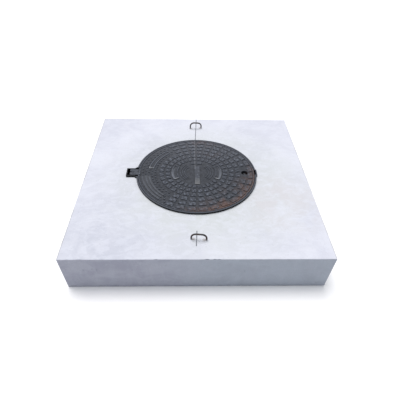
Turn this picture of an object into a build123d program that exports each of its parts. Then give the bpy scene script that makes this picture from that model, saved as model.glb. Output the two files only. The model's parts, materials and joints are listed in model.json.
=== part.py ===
from build123d import *

import os
from math import cos, degrees, radians, sin, sqrt

# A square precast concrete slab with a round, hinged and lockable cast-iron manhole cover in it.
# Millimetres, +Z up. The origin is the centre of the slab's underside, +X runs from the hinge to the lock.

# ---- Slab ----
SLAB_SIDE = 1200.0
SLAB_HEIGHT = 200.0
ARRIS = 3.0
SHAFT_RADIUS = 310.0

# ---- Overlaps: how far a cutter runs past a face, and how far a joined piece sinks into one ----
OVERCUT = 1.0
SUNK = 1.0

# ---- Frame: levels and radii ----
PROUD = 11.0
IRON_TOP = SLAB_HEIGHT + PROUD
FRAME_HEIGHT = 123.0
FRAME_BOTTOM = IRON_TOP - FRAME_HEIGHT
RIM_OUTER = 325.0
RIM_INNER_TOP = 317.0
RIM_INNER_SEAT = 314.0
CLEAR_OPENING_RADIUS = 300.0
SEAT_LEVEL = 166.0
LEDGE_THICKNESS = 12.0
FLANGE_RADIUS = 385.0
FLANGE_THICKNESS = 10.0
FLANGE_HOLES = 8
FLANGE_HOLE_RADIUS = 12.0
FLANGE_HOLE_CIRCLE = 352.0
GUSSET_HEIGHT = 40.0
GUSSET_THICKNESS = 8.0
GUSSET_REACH = 376.0
GUSSET_TOE = 4.0

# ---- Gasket ----
GASKET_THICKNESS = 4.0
GASKET_INNER = 301.5
GASKET_OUTER = 312.5
GROOVE_INNER = 305.0
GROOVE_OUTER = 309.0
GROOVE_DEPTH = 4.0

# ---- Cover ----
COVER_RADIUS = 314.5
COVER_RADIUS_LOW = 311.5
COVER_SEAT = SEAT_LEVEL + GASKET_THICKNESS
FIELD_LEVEL = IRON_TOP - 3.5
PLATE_THICKNESS = 10.0
PLATE_BOTTOM = FIELD_LEVEL - PLATE_THICKNESS
SKIRT_INNER = 300.0
SKIRT_CHAMFER = 4.0
BEAD_INNER = 308.5
BEAD_SLOPE = 2.0
RIB_THICKNESS = 8.0
RIB_COUNT = 8
RIB_BOTTOM = 172.0
RIB_FALL = 4.0
RIB_START = 30.0
RING_RIB_RADIUS = 150.0
HUB_RADIUS = 36.0
HUB_BORE_RADIUS = 22.0
HUB_DROP = 6.0
HUB_ROOF = 8.0

# ---- Stud pattern ----
COLUMNS = 32
RING_PITCH = 34.0
OUTER_RING = 292.0
RINGS = 7
INNERMOST_RADIUS = 100.0
STUD_LENGTH = 25.0
STUD_SHARE = 0.76
STUD_DRAFT = 14.0
STUD_CORNER = 3.0
STUD_CHAMFER = 0.6
KEYHOLE_MARGIN = 6.0
TAIL_ROOT_ZONE = (-285.0, 33.0)

# ---- Blank plates and arcs on the cover: (first angle, last angle, inner radius, outer radius) ----
OUTER_PLATE = (130.0, 172.0, 236.0, 264.0)
OUTER_PLATE_ZONE = (126.0, 176.0, 214.0, 284.0)
LOWER_ARC_ANGLES = (187.0, 229.0)
LOWER_ARC_RADII = (256.0, 274.0, 292.0)
LOWER_ARC_WIDTH = 9.0
LOWER_ARC_ZONE = (184.0, 232.0, 214.0, 315.0)
LEFT_PLATE = (152.0, 208.0, 103.0, 136.0)
RIGHT_PLATE = (-28.0, 28.0, 103.0, 136.0)
FINE_ARC_RADII = (64.0, 76.0, 88.0)
FINE_ARC_HALF_ANGLE = 48.0
FINE_ARC_WIDTH = 4.0
FINE_ARC_ZONES = ((-52.0, 52.0, 55.0, 100.0), (128.0, 232.0, 55.0, 100.0))
BORDER_WIDTH = 5.0
PLATE_RISE = 0.8
FINE_ARC_RISE = 2.5
CENTRE_BAR_RISE = 2.0
CENTRE_BAR = (-10.0, 17.0, -104.0, 56.0)
CENTRE_PAD_TOP = -52.0

# ---- Hinge ----
HINGE_X = -345.0
HINGE_Z = IRON_TOP - 13.0
PIN_RADIUS = 5.0
PIN_CLEARANCE = 0.05
TAIL_OVERHANG = 15.0
TAIL_END = HINGE_X - TAIL_OVERHANG
TAIL_ROOT = -303.5
TAIL_HALF_WIDTH = 25.0
TAIL_ROOT_FILLET = 10.0
TAIL_ZONE_HALF_WIDTH = 36.0
TAIL_FLARE_START = -326.0
BOSS_RADIUS = 14.0
POCKET_END = HINGE_X - 29.0
POCKET_HALF_WIDTH = 27.5
POCKET_FLOOR = IRON_TOP - 36.0
POCKET_FLOOR_THICKNESS = 8.0
HOUSING_WALL = 5.0
HOUSING_REACH = 294.0
MOUTH_START = HINGE_X + 19.0
MOUTH_FLARE = 10.0
MOUTH_HALF_WIDTH = 38.0
TAIL_GROOVE_WIDTH = 7.0
TAIL_GROOVE_DEPTH = 4.0
TAIL_GROOVE_LENGTH = 32.0
TAIL_SEAM_WIDTH = 2.5
TAIL_SEAM_DEPTH = 2.0
WASHER_THICKNESS = 2.3
WASHER_RADIUS = 11.0

# ---- Pry slot ----
PRY_HALF_WIDTH = 20.0
PRY_POCKET_END = 323.5
PRY_WALL_END = 329.5
PRY_WALL = 6.0
PRY_START = 302.0
PRY_CORNER = 4.0
PRY_RECESS_HALF_WIDTH = 16.0
PRY_RECESS_DEPTH = 7.0
PRY_RECESS_RISE = 6.0

# ---- Lock ----
LOCK_X = 262.0
KEYHOLE_RADIUS = 18.0
KEYHOLE_FLOOR = IRON_TOP - 24.0
NIB_WIDTH = 10.0
NIB_LENGTH = 10.0
LOCK_BOSS_RADIUS = 28.0
LOCK_BOSS_BOTTOM = 164.0
BUSH_RADIUS = 11.0
SPINDLE_RADIUS = 8.0
LOCK_CLEARANCE = 0.05
COLLAR_RADIUS = 13.5
COLLAR_THICKNESS = 3.0
SEAL_RADIUS = 14.0
SEAL_CLEARANCE = 0.4
SEAL_THICKNESS = 2.0
HEAD_RADIUS = 8.0
HEAD_HEIGHT = 9.0
HEAD_CHAMFER = 1.0
CAM_GAP = 2.0
CAM_TOP = SEAT_LEVEL - LEDGE_THICKNESS - CAM_GAP
CAM_THICKNESS = 8.0
CAM_REACH = 45.0
CAM_HALF_WIDTH = 12.0
SQUARE_SIDE = 11.0
THREAD_RADIUS = 5.0
LOCK_WASHER_RADIUS = 11.0
LOCK_WASHER_THICKNESS = 2.0
NUT_ACROSS_FLATS = 16.0
NUT_THICKNESS = 8.0
NUT_CORNER_HEIGHT = 2.0
THREAD_END = 129.0
SPRING_RADIUS = 11.5
SPRING_WIRE = 1.1
SPRING_TURNS = 3.0
SPRING_END_GAP = 0.1

# ---- Lifting loops: (centre x, centre y, left height, right height, turn in plan in degrees) ----
LOOP_BAR = 8.0
LOOP_HALF_SPAN = 34.5
LOOP_FOOT_LEVEL = 62.0
LOOP_FOOT_REACH = 70.0
LOOP_BEND = 22.0
REAR_LOOP = (1.0, 483.0, 40.0, 33.0, 6.0)
FRONT_LOOP = (4.0, -485.6, 33.0, 33.0, -5.3)

# ---- Reinforcement ----
BAR = 10.0
EDGE_BAR = 8.0
MAT_PITCH = 136.0
MAT_LINES = 4
BAR_END = 562.0
OPENING_COVER_RADIUS = 336.0
HOUSING_COVER = 25.0
LAYER_GAP = 0.4
LAYER = BAR + LAYER_GAP
BOTTOM_LAYER = 35.0
TOP_LAYER = SLAB_HEIGHT - BOTTOM_LAYER
HOOP_RADIUS = 348.0
DIAGONAL_DISTANCE = 402.0
DIAGONAL_HALF_LENGTH = 240.0
U_BAR_LEG = 150.0
U_BAR_BEND = 20.0
CHAIR_WIDTH = 60.0
CHAIR_FOOT = 50.0
CHAIR_BEND = 12.0
ANCHOR_TOP = 122.0
ANCHOR_LEVEL = 78.0
ANCHOR_REACH = 470.0
ANCHOR_BEND = 16.0
ANCHOR_COUNT = 4
SPACER_PLACES = (
    (-3.5, -4), (-3.5, 0), (-3.5, 4), (-1.5, -4), (-1.5, 4),
    (1.5, -4), (1.5, 4), (3.5, -4), (3.5, 0), (3.5, 4),
)
SPACER_LENGTH = 40.0
SPACER_WIDTH = 30.0
TIE_RING_RADIUS = 11.7
TIE_WIRE_RADIUS = 0.7


# ---- Shape helpers ----

def block(low, high):
    """A box between two corners."""
    size = [b - a for a, b in zip(low, high)]
    centre = [(a + b) / 2 for a, b in zip(low, high)]
    return Pos(*centre) * Box(*size)


def rod(radius, bottom, top, x=0.0, y=0.0):
    """An upright cylinder between two levels."""
    return Pos(x, y, (bottom + top) / 2) * Cylinder(radius, top - bottom)


def turned(*outline):
    """A solid turned round the Z axis from (radius, level) points."""
    wire = Polyline(*outline, close=True)
    return revolve(Plane.XZ * make_face(wire), Axis.Z)


def upright_slab(outline, thickness):
    """A flat piece in the XZ plane from (x, z) points, centred on y = 0."""
    face = Plane.XZ * make_face(Polyline(*outline, close=True))
    return extrude(face, amount=thickness / 2, both=True)


def straight_bar(start, end, diameter):
    """A round bar between two points."""
    path = Line(start, end)
    return sweep(Plane(origin=path @ 0, z_dir=path % 0) * Circle(diameter / 2), path=path)


def bent_bar(points, bend, diameter):
    """A round bar along straight runs joined by arcs of one radius."""
    path = FilletPolyline(*points, radius=bend)
    return sweep(Plane(origin=path @ 0, z_dir=path % 0) * Circle(diameter / 2), path=path)


def group(pieces):
    """Separate solids that make one node."""
    solids = []
    for piece in pieces:
        solids.extend(piece.solids())
    return Compound(solids)


def sector(first, last, inner, outer, bottom, top):
    """A flat ring sector round the Z axis, between two angles in degrees."""
    middle = radians((first + last) / 2)
    a, b = radians(first), radians(last)
    edges = [
        ThreePointArc(
            (outer * cos(a), outer * sin(a)),
            (outer * cos(middle), outer * sin(middle)),
            (outer * cos(b), outer * sin(b)),
        ),
        Line((outer * cos(b), outer * sin(b)), (inner * cos(b), inner * sin(b))),
        ThreePointArc(
            (inner * cos(b), inner * sin(b)),
            (inner * cos(middle), inner * sin(middle)),
            (inner * cos(a), inner * sin(a)),
        ),
        Line((inner * cos(a), inner * sin(a)), (outer * cos(a), outer * sin(a))),
    ]
    return Pos(0, 0, bottom) * extrude(make_face(edges), amount=top - bottom)


# ---- Frame ----

def hinge_housing(level_low, level_high, wall):
    """The hinge pocket with a wall round it: a neck that widens to a mouth in the rim."""
    half_width = POCKET_HALF_WIDTH + wall
    mouth_half_width = MOUTH_HALF_WIDTH + wall
    end = POCKET_END - wall
    outline = [
        (end, -half_width),
        (MOUTH_START - MOUTH_FLARE, -half_width),
        (MOUTH_START, -mouth_half_width),
        (-HOUSING_REACH, -mouth_half_width),
        (-HOUSING_REACH, mouth_half_width),
        (MOUTH_START, mouth_half_width),
        (MOUTH_START - MOUTH_FLARE, half_width),
        (end, half_width),
    ]
    face = make_face(Polyline(*outline, close=True))
    return Pos(0, 0, level_low) * extrude(face, amount=level_high - level_low)


def frame_outside():
    """The frame as if it were solid: what the concrete is cast against."""
    body = rod(RIM_OUTER, FRAME_BOTTOM, IRON_TOP)
    body += rod(FLANGE_RADIUS, FRAME_BOTTOM, FRAME_BOTTOM + FLANGE_THICKNESS)
    body += hinge_housing(POCKET_FLOOR - POCKET_FLOOR_THICKNESS, IRON_TOP, HOUSING_WALL)
    body += pry_bulge(PRY_WALL_END, PRY_HALF_WIDTH + PRY_WALL, SEAT_LEVEL - LEDGE_THICKNESS, IRON_TOP)
    flange_top = FRAME_BOTTOM + FLANGE_THICKNESS
    gusset = upright_slab(
        [(RIM_OUTER - SUNK, flange_top - SUNK), (GUSSET_REACH, flange_top - SUNK),
         (GUSSET_REACH, flange_top + GUSSET_TOE), (RIM_OUTER - SUNK, flange_top + GUSSET_HEIGHT)],
        GUSSET_THICKNESS,
    )
    body += [Rot(0, 0, k * 360.0 / FLANGE_HOLES) * gusset for k in range(FLANGE_HOLES)]
    holes = [
        Rot(0, 0, (k + 0.5) * 360.0 / FLANGE_HOLES)
        * rod(FLANGE_HOLE_RADIUS, FRAME_BOTTOM - OVERCUT, flange_top + OVERCUT, x=FLANGE_HOLE_CIRCLE)
        for k in range(FLANGE_HOLES)
    ]
    return body - holes


def pry_bulge(end, half_width, low, high):
    """The rounded swelling of the rim round the pry slot, or the slot itself."""
    face = Pos((PRY_START + end) / 2, 0) * RectangleRounded(end - PRY_START, 2 * half_width, PRY_CORNER)
    return Pos(0, 0, low) * extrude(face, amount=high - low)


def manhole_frame(outside):
    """The hollow frame: rim, seat with gasket groove, straight wall, hinge pocket and pry slot."""
    above_seat = turned(
        (0, SEAT_LEVEL), (RIM_INNER_SEAT, SEAT_LEVEL),
        (RIM_INNER_TOP, IRON_TOP), (RIM_INNER_TOP, IRON_TOP + OVERCUT), (0, IRON_TOP + OVERCUT),
    )
    ledge_bottom = SEAT_LEVEL - LEDGE_THICKNESS
    through = rod(CLEAR_OPENING_RADIUS, ledge_bottom - OVERCUT, SEAT_LEVEL + OVERCUT)
    below_seat = rod(RIM_INNER_SEAT, FRAME_BOTTOM - OVERCUT, ledge_bottom)
    groove = (
        rod(GROOVE_OUTER, SEAT_LEVEL - GROOVE_DEPTH, SEAT_LEVEL + OVERCUT)
        - rod(GROOVE_INNER, SEAT_LEVEL - GROOVE_DEPTH, SEAT_LEVEL + OVERCUT)
    )
    pocket = hinge_housing(POCKET_FLOOR, IRON_TOP + OVERCUT, 0.0)
    slot = pry_bulge(PRY_POCKET_END, PRY_HALF_WIDTH, SEAT_LEVEL, IRON_TOP + OVERCUT)
    frame = outside - above_seat - through - below_seat - groove - pocket - slot
    return frame - hinge_bore(PIN_RADIUS, POCKET_HALF_WIDTH + HOUSING_WALL)


def hinge_bore(radius, half_length):
    """A cylinder along the hinge axis."""
    return Pos(HINGE_X, 0, HINGE_Z) * Rot(90, 0, 0) * Cylinder(radius, 2 * half_length)


def seating_gasket():
    """T-shaped elastomer ring: its head carries the cover and its root sits in the seat's groove."""
    head_top = SEAT_LEVEL + GASKET_THICKNESS
    return turned(
        (GASKET_INNER, SEAT_LEVEL), (GROOVE_INNER, SEAT_LEVEL),
        (GROOVE_INNER, SEAT_LEVEL - GROOVE_DEPTH), (GROOVE_OUTER, SEAT_LEVEL - GROOVE_DEPTH),
        (GROOVE_OUTER, SEAT_LEVEL), (GASKET_OUTER, SEAT_LEVEL),
        (GASKET_OUTER, head_top), (GASKET_INNER, head_top),
    )


# ---- Cover ----

def cover_plan():
    """Plan of the cover's top: the disc with the hinge tail, filleted at its root."""
    tail = Pos((TAIL_END + TAIL_ROOT) / 2, 0) * Rectangle(TAIL_ROOT - TAIL_END, 2 * TAIL_HALF_WIDTH)
    plan = Circle(COVER_RADIUS) + tail
    root = [corner for corner in plan.vertices() if TAIL_END + SUNK < corner.X < TAIL_ROOT]
    return fillet(root, TAIL_ROOT_FILLET)


def cover_tail():
    """The hinge tail: a flat top, a round end and a boss round the pin."""
    reach = TAIL_ROOT - HINGE_X
    top = IRON_TOP - HINGE_Z
    side = make_face([
        Line((-TAIL_OVERHANG, top), (reach, top)),
        Line((reach, top), (reach, -BOSS_RADIUS)),
        Line((reach, -BOSS_RADIUS), (0.0, -BOSS_RADIUS)),
        ThreePointArc(
            (0.0, -BOSS_RADIUS),
            (-BOSS_RADIUS * sin(radians(45)), -BOSS_RADIUS * cos(radians(45))),
            (-BOSS_RADIUS, 0.0),
        ),
        Line((-BOSS_RADIUS, 0.0), (-TAIL_OVERHANG, top)),
    ])
    solid = extrude(Plane.XZ * side, amount=TAIL_HALF_WIDTH, both=True)
    return Pos(HINGE_X, 0, HINGE_Z) * solid


def in_zone(angle, radius, zone, margin=0.0):
    """Whether a point of the cover's plan lies in a plate's zone."""
    first, last, inner, outer = zone
    middle = (first + last) / 2
    offset = (angle - middle + 180.0) % 360.0 - 180.0
    spread = degrees(margin / radius)
    return abs(offset) < (last - first) / 2 + spread and inner - margin < radius < outer + margin


def stud_is_kept(angle, radius):
    """Studs leave room for the blank plates, the keyhole and the hinge tail's root."""
    half = STUD_LENGTH / 2
    for zone in (OUTER_PLATE_ZONE, LOWER_ARC_ZONE, LEFT_PLATE, RIGHT_PLATE) + FINE_ARC_ZONES:
        if in_zone(angle, radius, zone, margin=half):
            return False
    x, y = radius * cos(radians(angle)), radius * sin(radians(angle))
    near_keyhole = sqrt((x - LOCK_X) ** 2 + y ** 2) < KEYHOLE_RADIUS + half + KEYHOLE_MARGIN
    root_x, root_half_width = TAIL_ROOT_ZONE
    near_tail = x < root_x and abs(y) < root_half_width
    left, right, low, _ = CENTRE_BAR
    near_bar = left - half < x < right + half and low - half < y < 0
    return not (near_keyhole or near_tail or near_bar)


def stud(width, length):
    """One raised stud with drafted sides and a small chamfer round its top."""
    height = IRON_TOP - FIELD_LEVEL + SUNK
    body = extrude(RectangleRounded(length, width, STUD_CORNER), amount=height, taper=STUD_DRAFT)
    top_edges = body.faces().sort_by(Axis.Z)[-1].edges()
    return Pos(0, 0, FIELD_LEVEL - SUNK) * chamfer(top_edges, STUD_CHAMFER)


def stud_pattern():
    """Rings of studs in radial columns, as one list of solids."""
    studs = []
    for ring in range(RINGS):
        radius = OUTER_RING - ring * RING_PITCH
        columns = COLUMNS if radius > INNERMOST_RADIUS else COLUMNS // 2
        pitch = 360.0 / columns
        width = STUD_SHARE * radians(pitch) * radius
        shape = Pos(radius, 0, 0) * stud(width, STUD_LENGTH)
        for column in range(columns):
            angle = (column + 0.5) * pitch
            if stud_is_kept(angle, radius):
                studs.append(Rot(0, 0, angle) * shape)
    return studs


def bordered_plate(zone):
    """A blank curved plate with a raised border."""
    first, last, inner, outer = zone
    border = sector(first, last, inner, outer, FIELD_LEVEL - SUNK, IRON_TOP)
    margin = degrees(BORDER_WIDTH / ((inner + outer) / 2))
    window = sector(
        first + margin, last - margin, inner + BORDER_WIDTH, outer - BORDER_WIDTH,
        FIELD_LEVEL + PLATE_RISE, IRON_TOP + OVERCUT,
    )
    return border - window


def raised_arc(first, last, radius, width, rise):
    """A plain arc of one width standing on the cover's field."""
    inner, outer = radius - width / 2, radius + width / 2
    return sector(first, last, inner, outer, FIELD_LEVEL - SUNK, FIELD_LEVEL + rise)


def cover_reliefs():
    """Blank plates, plain arcs and the bar in the middle of the cover."""
    reliefs = [bordered_plate(zone) for zone in (OUTER_PLATE, LEFT_PLATE, RIGHT_PLATE)]
    for radius in LOWER_ARC_RADII:
        reliefs.append(raised_arc(*LOWER_ARC_ANGLES, radius, LOWER_ARC_WIDTH, IRON_TOP - FIELD_LEVEL))
    for radius in FINE_ARC_RADII:
        for side in (0.0, 180.0):
            first, last = side - FINE_ARC_HALF_ANGLE, side + FINE_ARC_HALF_ANGLE
            reliefs.append(raised_arc(first, last, radius, FINE_ARC_WIDTH, FINE_ARC_RISE))
    left, right, low, high = CENTRE_BAR
    bottom = FIELD_LEVEL - SUNK
    reliefs.append(block((left, low, bottom), (right, high, FIELD_LEVEL + CENTRE_BAR_RISE)))
    reliefs.append(block((left, low, bottom), (right, CENTRE_PAD_TOP, IRON_TOP)))
    return reliefs


def cover_ribs():
    """Radial ribs, a ring rib and a hub under the plate."""
    top = PLATE_BOTTOM + SUNK
    hub_bottom = RIB_BOTTOM - HUB_DROP
    hub = rod(HUB_RADIUS, hub_bottom, top)
    hub -= rod(HUB_BORE_RADIUS, hub_bottom - OVERCUT, PLATE_BOTTOM - HUB_ROOF)
    ring = (
        rod(RING_RIB_RADIUS + RIB_THICKNESS / 2, RIB_BOTTOM, top)
        - rod(RING_RIB_RADIUS - RIB_THICKNESS / 2, RIB_BOTTOM, top)
    )
    rib_end = SKIRT_INNER + RIB_FALL
    radial = upright_slab(
        [(RIB_START, top), (RIB_START, hub_bottom), (RING_RIB_RADIUS, RIB_BOTTOM),
         (rib_end, RIB_BOTTOM + RIB_FALL), (rib_end, top)],
        RIB_THICKNESS,
    )
    return hub + ring + [Rot(0, 0, (k + 0.5) * 360.0 / RIB_COUNT) * radial for k in range(RIB_COUNT)]


def cover_disc():
    """The plate with its skirt and the bead round its edge."""
    return turned(
        (0, PLATE_BOTTOM), (SKIRT_INNER - SKIRT_CHAMFER, PLATE_BOTTOM),
        (SKIRT_INNER, PLATE_BOTTOM - SKIRT_CHAMFER), (SKIRT_INNER, COVER_SEAT),
        (COVER_RADIUS_LOW, COVER_SEAT), (COVER_RADIUS, IRON_TOP), (BEAD_INNER, IRON_TOP),
        (BEAD_INNER - BEAD_SLOPE, FIELD_LEVEL), (0, FIELD_LEVEL),
    )


def tail_flare():
    """The filleted corners where the tail leaves the disc."""
    bottom = HINGE_Z - BOSS_RADIUS
    zone = block(
        (TAIL_FLARE_START, -TAIL_ZONE_HALF_WIDTH, bottom), (-SKIRT_INNER, TAIL_ZONE_HALF_WIDTH, IRON_TOP)
    )
    flare = (Pos(0, 0, bottom) * extrude(cover_plan(), amount=IRON_TOP - bottom)) & zone
    return flare - rod(BEAD_INNER, bottom - OVERCUT, IRON_TOP + OVERCUT)


def keyhole():
    """The round hole for the lock's head, with a nib on its front side, and the bush's seat below it."""
    hole = rod(KEYHOLE_RADIUS, KEYHOLE_FLOOR, IRON_TOP + OVERCUT, x=LOCK_X)
    nib_start = -KEYHOLE_RADIUS - OVERCUT
    hole -= block(
        (LOCK_X - NIB_WIDTH / 2, nib_start, PLATE_BOTTOM),
        (LOCK_X + NIB_WIDTH / 2, nib_start + NIB_LENGTH, FIELD_LEVEL),
    )
    return hole + rod(BUSH_RADIUS, LOCK_BOSS_BOTTOM - OVERCUT, KEYHOLE_FLOOR + OVERCUT, x=LOCK_X)


def pry_recess():
    """The hollow in the cover's side for the tip of a lifting bar."""
    return block(
        (COVER_RADIUS - PRY_RECESS_DEPTH, -PRY_RECESS_HALF_WIDTH, COVER_SEAT + PRY_RECESS_RISE),
        (COVER_RADIUS + OVERCUT, PRY_RECESS_HALF_WIDTH, PLATE_BOTTOM),
    )


def cover_plate():
    """The whole casting of the cover."""
    cover = cover_disc() + cover_tail() + tail_flare() + cover_ribs()
    cover += rod(LOCK_BOSS_RADIUS, LOCK_BOSS_BOTTOM, PLATE_BOTTOM + SUNK, x=LOCK_X)
    cover += cover_reliefs() + stud_pattern()
    cover -= keyhole()
    cover -= hinge_bore(PIN_RADIUS + PIN_CLEARANCE, TAIL_HALF_WIDTH + OVERCUT)
    return cover - pry_recess() - tail_groove() - tail_seam()


def tail_groove():
    """A groove along the tail's top that runs out towards the disc."""
    start, end = TAIL_END - OVERCUT, TAIL_END + TAIL_GROOVE_LENGTH
    top = IRON_TOP + OVERCUT
    return upright_slab(
        [(start, top), (start, IRON_TOP - TAIL_GROOVE_DEPTH), (end, top)],
        TAIL_GROOVE_WIDTH,
    )


def tail_seam():
    """A shallow groove across the tail's root, so that the rim bead reads as a full circle."""
    spread = degrees((TAIL_HALF_WIDTH + TAIL_ROOT_FILLET) / COVER_RADIUS)
    return sector(
        180.0 - spread, 180.0 + spread, COVER_RADIUS, COVER_RADIUS + TAIL_SEAM_WIDTH,
        IRON_TOP - TAIL_SEAM_DEPTH, IRON_TOP + OVERCUT,
    )


# ---- Hinge fittings ----

def hinge_pin():
    """Plain pin through both cheeks of the housing, closed in by the concrete."""
    return hinge_bore(PIN_RADIUS, POCKET_HALF_WIDTH + HOUSING_WALL)


def hinge_washers():
    """Two washers that keep the tail in the middle of the pocket."""
    washers = []
    for side in (-1, 1):
        middle = side * (TAIL_HALF_WIDTH + POCKET_HALF_WIDTH) / 2
        place = Pos(HINGE_X, middle, HINGE_Z) * Rot(90, 0, 0)
        washers.append(place * (Cylinder(WASHER_RADIUS, WASHER_THICKNESS)
                                - Cylinder(PIN_RADIUS + PIN_CLEARANCE, WASHER_THICKNESS)))
    return group(washers)


# ---- Lock ----

def lock_bush():
    """Bush pressed into the cover's lock boss."""
    return (
        rod(BUSH_RADIUS, LOCK_BOSS_BOTTOM, KEYHOLE_FLOOR, x=LOCK_X)
        - rod(SPINDLE_RADIUS + LOCK_CLEARANCE, LOCK_BOSS_BOTTOM, KEYHOLE_FLOOR, x=LOCK_X)
    )


def lock_seal_ring():
    """Flat ring seal on the keyhole's floor, under the spindle's collar."""
    return (
        rod(SEAL_RADIUS, KEYHOLE_FLOOR, KEYHOLE_FLOOR + SEAL_THICKNESS, x=LOCK_X)
        - rod(SPINDLE_RADIUS + SEAL_CLEARANCE, KEYHOLE_FLOOR, KEYHOLE_FLOOR + SEAL_THICKNESS, x=LOCK_X)
    )


def lock_spindle():
    """Spindle with a five-sided head, a collar, a round journal, a square and a threaded end."""
    collar_bottom = KEYHOLE_FLOOR + SEAL_THICKNESS
    collar_top = collar_bottom + COLLAR_THICKNESS
    head = Pos(LOCK_X, 0, collar_top) * extrude(RegularPolygon(HEAD_RADIUS, 5), amount=HEAD_HEIGHT)
    spindle = rod(COLLAR_RADIUS, collar_bottom, collar_top, x=LOCK_X)
    spindle += chamfer(head.faces().sort_by(Axis.Z)[-1].edges(), HEAD_CHAMFER)
    spindle += rod(SPINDLE_RADIUS, CAM_TOP, collar_bottom, x=LOCK_X)
    spindle += block(
        (LOCK_X - SQUARE_SIDE / 2, -SQUARE_SIDE / 2, CAM_TOP - CAM_THICKNESS),
        (LOCK_X + SQUARE_SIDE / 2, SQUARE_SIDE / 2, CAM_TOP),
    )
    return spindle + rod(THREAD_RADIUS, THREAD_END, CAM_TOP - CAM_THICKNESS, x=LOCK_X)


def lock_cam():
    """Latch bar on the spindle's square. It points along the rim when the lock is open."""
    plan = make_face([
        Line((-CAM_HALF_WIDTH, 0), (-CAM_HALF_WIDTH, CAM_REACH - CAM_HALF_WIDTH)),
        ThreePointArc(
            (-CAM_HALF_WIDTH, CAM_REACH - CAM_HALF_WIDTH), (0, CAM_REACH),
            (CAM_HALF_WIDTH, CAM_REACH - CAM_HALF_WIDTH),
        ),
        Line((CAM_HALF_WIDTH, CAM_REACH - CAM_HALF_WIDTH), (CAM_HALF_WIDTH, 0)),
        ThreePointArc((CAM_HALF_WIDTH, 0), (0, -CAM_HALF_WIDTH), (-CAM_HALF_WIDTH, 0)),
    ])
    plan -= Rectangle(SQUARE_SIDE, SQUARE_SIDE)
    return Pos(LOCK_X, 0, CAM_TOP - CAM_THICKNESS) * extrude(plan, amount=CAM_THICKNESS)


def lock_washer():
    """Plain washer between the cam and the nut."""
    top = CAM_TOP - CAM_THICKNESS
    return (
        rod(LOCK_WASHER_RADIUS, top - LOCK_WASHER_THICKNESS, top, x=LOCK_X)
        - rod(THREAD_RADIUS, top - LOCK_WASHER_THICKNESS, top, x=LOCK_X)
    )


def lock_nut():
    """Hexagon nut on the spindle's end, with its outer corners turned off."""
    top = CAM_TOP - CAM_THICKNESS - LOCK_WASHER_THICKNESS
    bottom = top - NUT_THICKNESS
    corner_radius = NUT_ACROSS_FLATS / 2 / cos(radians(30))
    hexagon = Pos(LOCK_X, 0, bottom) * extrude(RegularPolygon(corner_radius, 6), amount=NUT_THICKNESS)
    cone_radius = corner_radius + OVERCUT
    cone = Pos(LOCK_X, 0, 0) * turned(
        (0, bottom), (NUT_ACROSS_FLATS / 2, bottom), (cone_radius, bottom + NUT_CORNER_HEIGHT),
        (cone_radius, top), (0, top),
    )
    return (hexagon & cone) - rod(THREAD_RADIUS, bottom, top, x=LOCK_X)


def lock_spring():
    """Compression spring round the spindle, between the boss and the cam."""
    room = LOCK_BOSS_BOTTOM - CAM_TOP
    end = SPRING_WIRE + SPRING_END_GAP
    rise = room - 2 * end
    coil = Pos(LOCK_X, 0, CAM_TOP + end) * Helix(rise / SPRING_TURNS, rise, SPRING_RADIUS)
    section = Plane(origin=coil @ 0, z_dir=coil % 0) * Circle(SPRING_WIRE)
    return sweep(section, path=coil, is_frenet=True)


# ---- Lifting loops and reinforcement ----

def lifting_loop(place):
    """Round bar bent to a flat-topped loop, with both legs cast in and their feet turned out."""
    x, y, left_height, right_height, turn = place
    foot_end = LOOP_HALF_SPAN + LOOP_FOOT_REACH
    points = [
        (-foot_end, 0, LOOP_FOOT_LEVEL),
        (-LOOP_HALF_SPAN, 0, LOOP_FOOT_LEVEL),
        (-LOOP_HALF_SPAN, 0, SLAB_HEIGHT + left_height),
        (LOOP_HALF_SPAN, 0, SLAB_HEIGHT + right_height),
        (LOOP_HALF_SPAN, 0, LOOP_FOOT_LEVEL),
        (foot_end, 0, LOOP_FOOT_LEVEL),
    ]
    return Pos(x, y, 0) * Rot(0, 0, turn) * bent_bar(points, LOOP_BEND, LOOP_BAR)


def mat_lines():
    """Distances of a mat's bars from the slab's middle."""
    return [k * MAT_PITCH for k in range(-MAT_LINES, MAT_LINES + 1)]


def mat_bars(level, along_x, housing_end=0.0):
    """One layer of parallel bars, stopped short of the opening."""
    bars = []
    for offset in mat_lines():
        if abs(offset) >= OPENING_COVER_RADIUS:
            spans = [(-BAR_END, BAR_END)]
        else:
            stop = sqrt(OPENING_COVER_RADIUS ** 2 - offset ** 2)
            near = max(stop, housing_end) if offset == 0.0 else stop
            spans = [(-BAR_END, -near), (stop, BAR_END)]
        for start, end in spans:
            if along_x:
                bars.append(straight_bar((start, offset, level), (end, offset, level), BAR))
            else:
                bars.append(straight_bar((offset, start, level), (offset, end, level), BAR))
    return bars


def opening_hoop(level):
    """Bar bent to a ring round the opening."""
    return Pos(0, 0, level) * Torus(HOOP_RADIUS, BAR / 2)


def diagonal_trimmers():
    """Bars across the four corners of the opening, in both mats."""
    bars = []
    for level in (BOTTOM_LAYER + 3 * LAYER, TOP_LAYER - 3 * LAYER):
        for corner in range(4):
            bar = straight_bar(
                (DIAGONAL_DISTANCE, -DIAGONAL_HALF_LENGTH, level),
                (DIAGONAL_DISTANCE, DIAGONAL_HALF_LENGTH, level), BAR,
            )
            bars.append(Rot(0, 0, 45.0 + 90.0 * corner) * bar)
    return bars


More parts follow.
